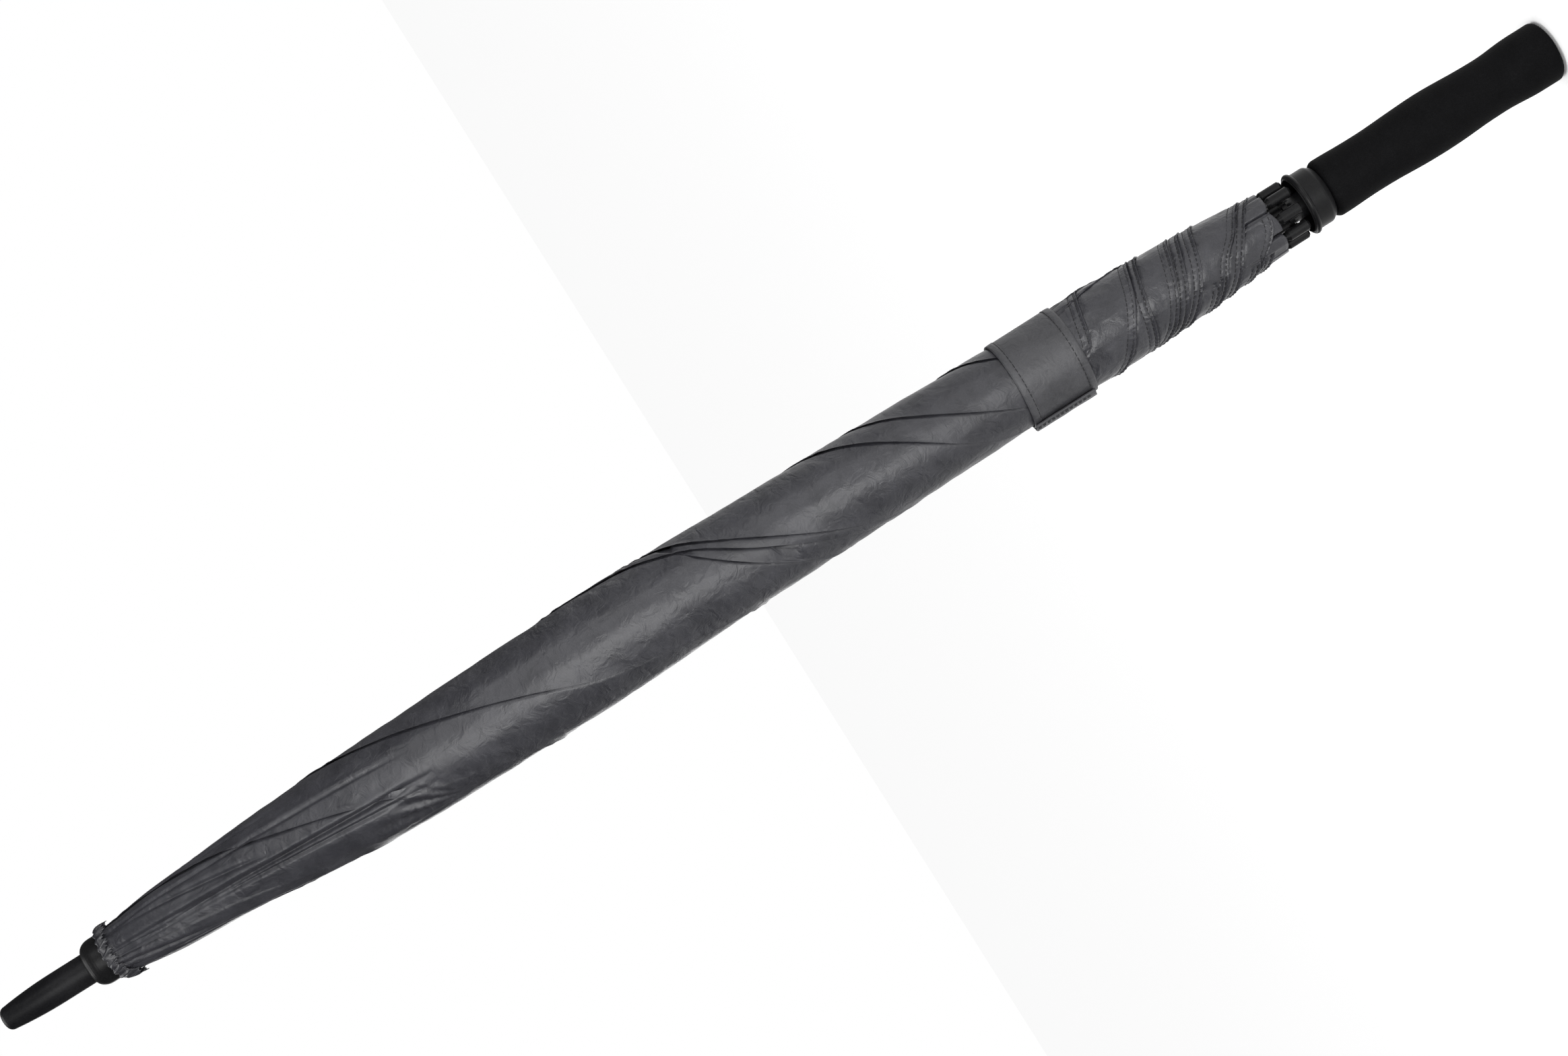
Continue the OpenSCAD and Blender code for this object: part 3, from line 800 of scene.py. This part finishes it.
def make_ruffle():
    """A strip of cloth gathered round the neck, with a pinked free edge and its folds laid over sideways."""
    folds = [(i * 360 / 19 + 5 * math.sin(2.3 * i), 1.7 + 0.6 * math.sin(1.7 * i + 1)) for i in range(19)]

    def leaf(off):
        """One fold: a slow rise, then a sharp drop where it lies over the next."""
        return ramp(-12, 3, off) * (1 - ramp(3, 5, off))

    def place(u, v):
        azimuth = 360 * u
        low_side = bump_at(turned(azimuth - 178), 0, 45)
        depth = 5.0 + 4.2 * low_side
        fold = sum(size * leaf(turned(azimuth - at - 14 * v)) for at, size in folds)
        pinked = 1.5 * abs(((azimuth / 5.0) % 1) * 2 - 1) * ramp(0.75, 1, v)
        ripple = 1.0 * math.sin(math.radians(azimuth * 19)) * (0.5 + 0.5 * v)
        height = CAP_FOOT + 1.6 - 2.2 * low_side - depth * v - pinked + ripple
        flare = 0.2 + 1.3 * math.sin(math.pi * min(1, 0.25 + 0.6 * v)) + 0.8 * low_side * v
        return polar(14.0 + flare + fold * (0.45 + 0.75 * v), azimuth, height)

    obj = cloth_grid("neck_ruffle", 432, 12, place, (0.19, 0.011))
    close_seam(obj, 0.02)
    obj.data.materials.append(RUFFLE_CLOTH)
    thicken(obj, 0.3)
    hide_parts("rosette")
    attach(obj, "root")


# ---- Foam grip ----

def make_grip():
    """The foam sleeve, turned from its outline and very slightly uneven."""
    flare_r, waist_r, swell_r, shoulder_r, shoulder_round, end_round = 18.1, 16.8, 18.2, 17.4, 4.0, 3.0
    bore = 9.6
    shoulder = GRIP_TOP - shoulder_round
    stations = [(14, flare_r), (GRIP_TOP * 0.26, waist_r), (GRIP_TOP * 0.52, swell_r),
                (GRIP_TOP * 0.81, waist_r), (shoulder, shoulder_r)]
    outline = [(bore, 0)]
    for i in range(9):
        a = math.radians(90 * i / 8)
        outline.append((flare_r - end_round + end_round * math.sin(a), end_round * (1 - math.cos(a))))
    outline.append((flare_r, 9))
    for (z0, r0), (z1, r1) in zip(stations, stations[1:]):
        for i in range(12):
            t = i / 12
            outline.append((r0 + (r1 - r0) * (1 - math.cos(math.pi * t)) / 2, z0 + (z1 - z0) * t))
    for i in range(9):
        a = math.radians(90 * i / 8)
        outline.append((shoulder_r - shoulder_round * (1 - math.cos(a)),
                        shoulder + shoulder_round * math.sin(a)))
    outline.append((bore, GRIP_TOP))
    bm = bmesh.new()
    ring = [bm.verts.new((r * MM, 0, z * MM)) for r, z in outline]
    edges = [bm.edges.new((a, b)) for a, b in zip(ring, ring[1:] + ring[:1])]
    bmesh.ops.spin(bm, geom=ring + edges, cent=(0, 0, 0), axis=(0, 0, 1), angle=2 * math.pi,
                   steps=96, use_merge=True)
    bmesh.ops.remove_doubles(bm, verts=bm.verts, dist=0.01 * MM)
    bmesh.ops.recalc_face_normals(bm, faces=bm.faces[:])
    for vert in bm.verts:
        if Vector((vert.co.x, vert.co.y)).length > (bore + 2) * MM:
            vert.co += vert.co * Vector((1, 1, 0)) * 0.006 * noise.noise(vert.co * 60)
    obj = keep_mesh(bm, "foam_grip")
    obj.data.materials.append(FOAM)
    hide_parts("handle_grip")
    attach(obj, "root")


wrap_canopy()
for rib in range(1, RIBS + 1):
    make_panel(rib)
    make_pocket(rib)
make_strap()
make_strap_tab()
make_ruffle()
make_grip()


# ---- Camera, lights and floor ----

CAMERA_DISTANCE = 1.555
CAMERA_HEIGHT = 0.560
AIM = Vector((0.001, 0, 0.5001))
CAMERA_UP = Vector((0.8459, 0, -0.5334))     # rolled, so that the umbrella lies from corner to corner


def add_camera():
    data = bpy.data.cameras.new("camera")
    data.sensor_width = 36
    data.lens = 65.15
    camera = bpy.data.objects.new("camera", data)
    bpy.context.scene.collection.objects.link(camera)
    place = Vector((AIM.x, -CAMERA_DISTANCE, CAMERA_HEIGHT))
    forward = (AIM - place).normalized()
    right = forward.cross(CAMERA_UP).normalized()
    up = right.cross(forward)
    camera.matrix_world = Matrix.Translation(place) @ Matrix((right, up, -forward)).transposed().to_4x4()
    bpy.context.scene.camera = camera


def add_area_light(name, place, aim, power, size):
    data = bpy.data.lights.new(name, "AREA")
    data.shape = "RECTANGLE"
    data.energy = power
    data.size, data.size_y = size
    light = bpy.data.objects.new(name, data)
    bpy.context.scene.collection.objects.link(light)
    light.location = place
    light.rotation_euler = (Vector(aim) - Vector(place)).to_track_quat("-Z", "Y").to_euler()


def add_overhead():
    """An even light from straight above, which keeps the floor pale."""
    data = bpy.data.lights.new("overhead", "SUN")
    data.energy = 3.2
    data.angle = math.radians(50)
    light = bpy.data.objects.new("overhead", data)
    bpy.context.scene.collection.objects.link(light)


def add_stage():
    bm = bmesh.new()
    bmesh.ops.create_grid(bm, x_segments=1, y_segments=1, size=30)
    floor = keep_mesh(bm, "floor")
    floor.data.transform(Matrix.Translation((0, 0, -0.001)))
    mat, _, shader = new_material("pale_floor")
    shader.inputs["Base Color"].default_value = (0.9, 0.9, 0.9, 1)
    shader.inputs["Roughness"].default_value = 0.9
    floor.data.materials.append(mat)
    world = bpy.data.worlds.new("studio")
    bpy.context.scene.world = world
    world.use_nodes = True
    sky = world.node_tree
    ambient = sky.nodes["Background"]
    ambient.inputs["Color"].default_value = (1, 1, 1, 1)
    ambient.inputs["Strength"].default_value = 0.10
    backdrop = sky.nodes.new("ShaderNodeBackground")
    backdrop.inputs["Color"].default_value = (1, 1, 1, 1)
    backdrop.inputs["Strength"].default_value = 1.0
    rays = sky.nodes.new("ShaderNodeLightPath")
    choose = sky.nodes.new("ShaderNodeMixShader")
    sky.links.new(rays.outputs["Is Camera Ray"], choose.inputs["Fac"])
    sky.links.new(ambient.outputs["Background"], choose.inputs[1])
    sky.links.new(backdrop.outputs["Background"], choose.inputs[2])
    sky.links.new(choose.outputs["Shader"], sky.nodes["World Output"].inputs["Surface"])
    bpy.context.scene.view_settings.view_transform = "Standard"


add_camera()
add_stage()
add_area_light("soft_key", (-0.4, -2.2, 0.75), (0, 0, 0.5), 50, (1.3, 1.6))
add_area_light("soft_fill", (1.5, -1.7, 0.9), (0, 0, 0.5), 15, (0.8, 1.4))
add_area_light("back_fill", (-0.6, 2.2, 1.2), (0, 0, 0.5), 9, (0.6, 1.6))
add_overhead()
